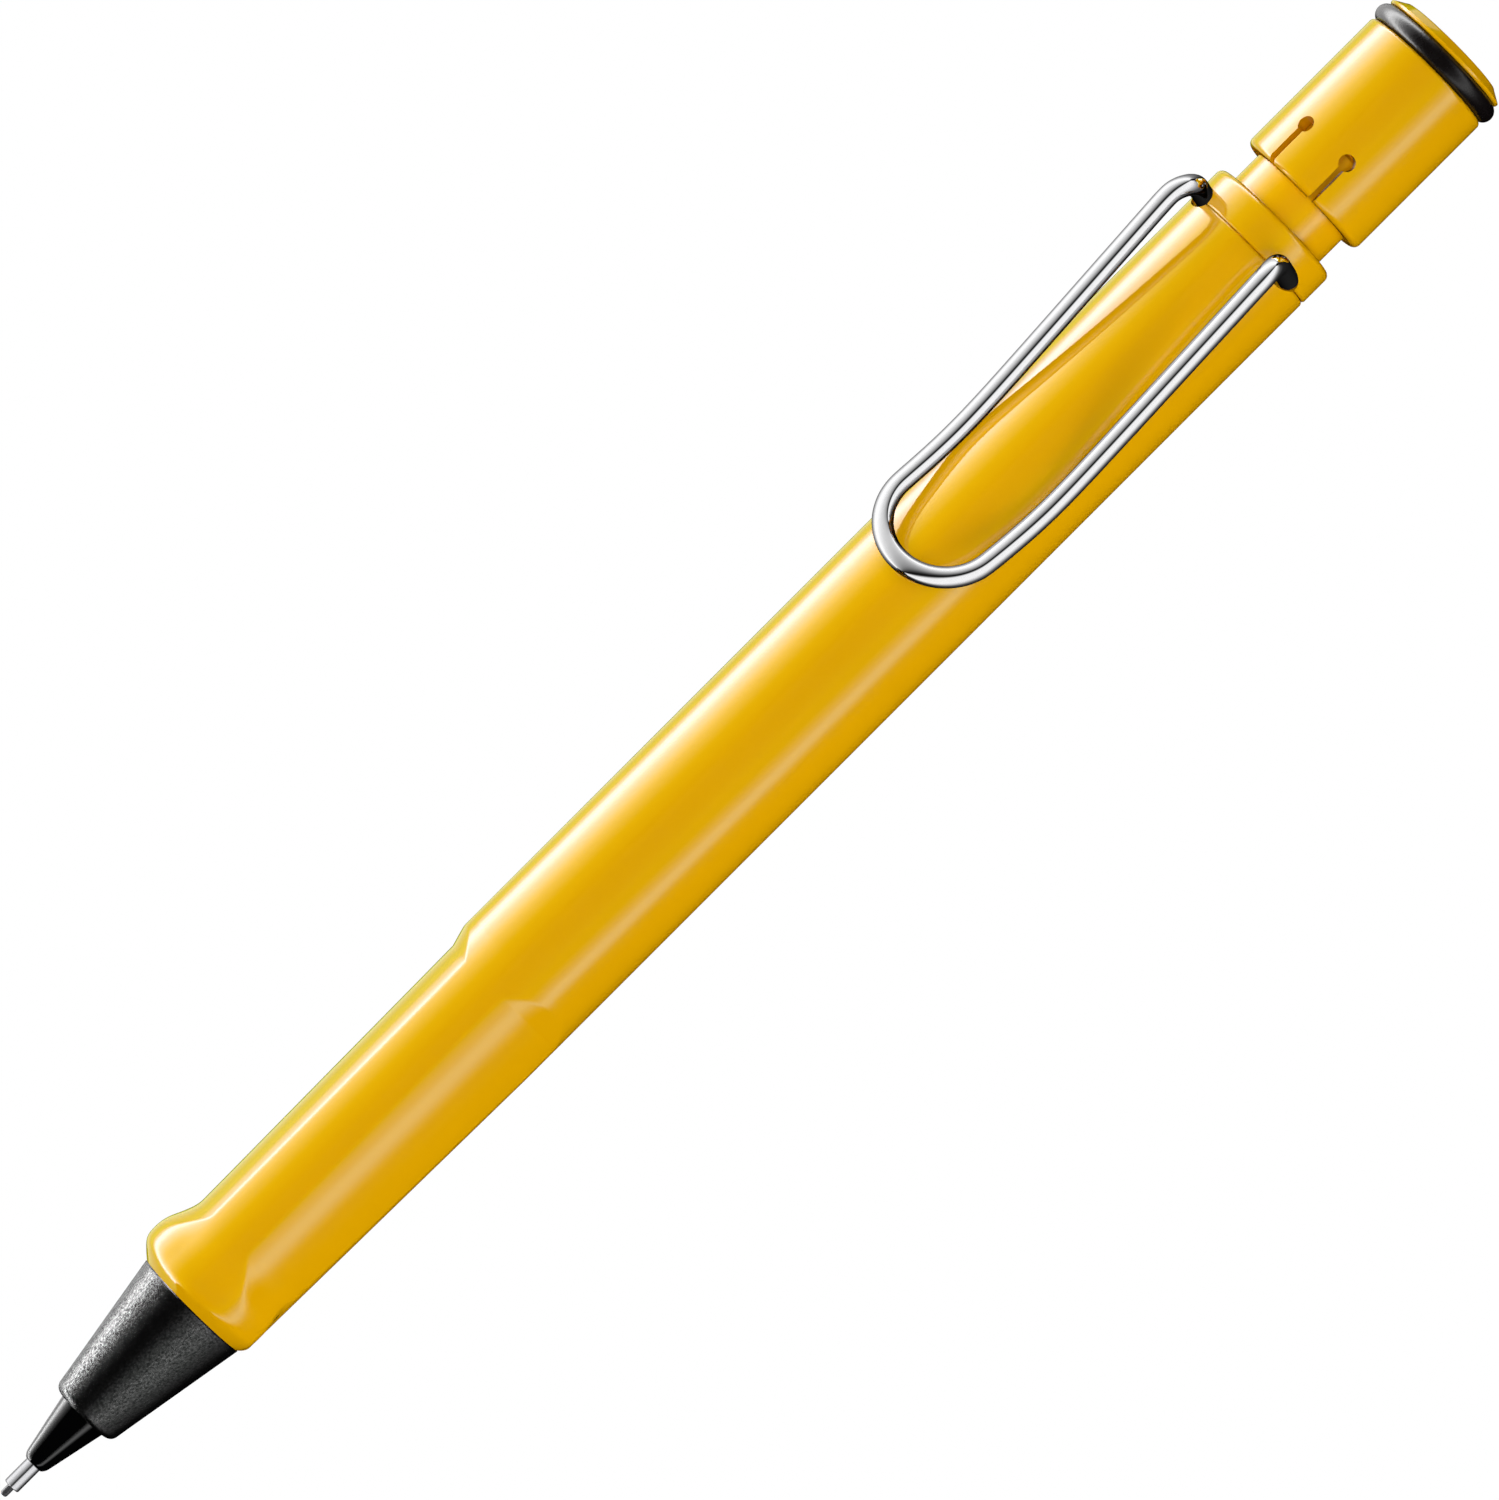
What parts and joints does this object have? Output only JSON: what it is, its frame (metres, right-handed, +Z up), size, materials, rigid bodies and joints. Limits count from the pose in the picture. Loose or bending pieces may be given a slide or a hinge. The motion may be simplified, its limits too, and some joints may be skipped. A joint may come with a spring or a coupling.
{
  "type": "mechanical pencil",
  "caption": "Round-barrelled mechanical pencil with finger recesses, a bent-wire pocket clip, a sprung push button with a rubber ring, and an eraser under the button",
  "frame": {"origin": "centre of the bounding box's lowest face; the pencil lies on its side with Z=0 at the lowest point of the rubber ring", "axes": "+X along the pencil toward the push button, +Y toward the clip, +Z up"},
  "size_m": [0.1392, 0.0138, 0.0109],
  "materials": {
    "writing_lead": "graphite, satin",
    "guide_sleeve": "bright turned steel",
    "tip_cone": "glossy black",
    "nose_cone": "fine matte texture",
    "barrel": "high gloss yellow",
    "clip": "polished chrome plate",
    "top_bush": "high gloss yellow",
    "push_button": "high gloss yellow",
    "button_o_ring": "satin black rubber",
    "button_end_cap": "high gloss yellow",
    "lead_retainer": "matte rubber",
    "clutch_jaws": "turned brass",
    "clutch_ring": "turned brass",
    "clutch_sleeve": "moulded",
    "return_spring": "spring wire",
    "lead_tube": "extruded, satin",
    "button_seat": "moulded",
    "spare_leads": "graphite, satin",
    "eraser": "matte vinyl",
    "eraser_ferrule": "drawn, bright",
    "cleaning_needle": "drawn wire"
  },
  "bodies": {
    "holder": {"barrel": "barrel", "top_bush": "top_bush", "clutch_sleeve": "clutch_sleeve", "return_spring": "return_spring"},
    "tip_unit": {"nose_cone": "nose_cone", "tip_cone": "tip_cone", "guide_sleeve": "guide_sleeve", "lead_retainer": "lead_retainer"},
    "clip": {"clip": "clip"},
    "mechanism": {"clutch_jaws": "clutch_jaws", "lead_tube": "lead_tube", "button_seat": "button_seat", "spare_leads": "spare_leads"},
    "clutch_ring": {"clutch_ring": "clutch_ring"},
    "lead": {"writing_lead": "writing_lead"},
    "eraser_unit": {"eraser": "eraser", "eraser_ferrule": "eraser_ferrule", "cleaning_needle": "cleaning_needle"},
    "button": {"push_button": "push_button", "button_o_ring": "button_o_ring", "button_end_cap": "button_end_cap"}
  },
  "joints": [
    {"name": "press", "type": "slide", "parent": "holder", "child": "mechanism", "axis": [-1, 0, 0], "range_m": [0, 0.0023], "stiffness_N_per_m": 1500, "springref_m": -0.002, "deforming": ["return_spring"]},
    {"name": "ring_travel", "type": "slide", "parent": "holder", "child": "clutch_ring", "axis": [-1, 0, 0], "range_m": [0, 0.00085]},
    {"name": "lead_feed", "type": "slide", "parent": "holder", "child": "lead", "axis": [-1, 0, 0], "range_m": [-0.0008, 0.005]},
    {"name": "tip_unscrew", "type": "slide", "parent": "holder", "child": "tip_unit", "axis": [-1, 0, 0], "range_m": [0, 0.035]},
    {"name": "clip_flex", "type": "hinge", "parent": "holder", "child": "clip", "pos_m": [0.05044, 0.00152, 0.00541], "axis": [0, 0, -1], "range_deg": [0, 3.5], "stiffness_Nm_per_rad": 1.6, "springref_deg": -1.72},
    {"name": "eraser_pull", "type": "slide", "parent": "mechanism", "child": "eraser_unit", "axis": [1, 0, 0], "range_m": [0, 0.032]},
    {"name": "button_pull", "type": "slide", "parent": "eraser_unit", "child": "button", "axis": [1, 0, 0], "range_m": [0, 0.016]}
  ],
  "couplings": [
    {"joint": "ring_travel", "follows": "press", "ratio": 0.35}
  ]
}
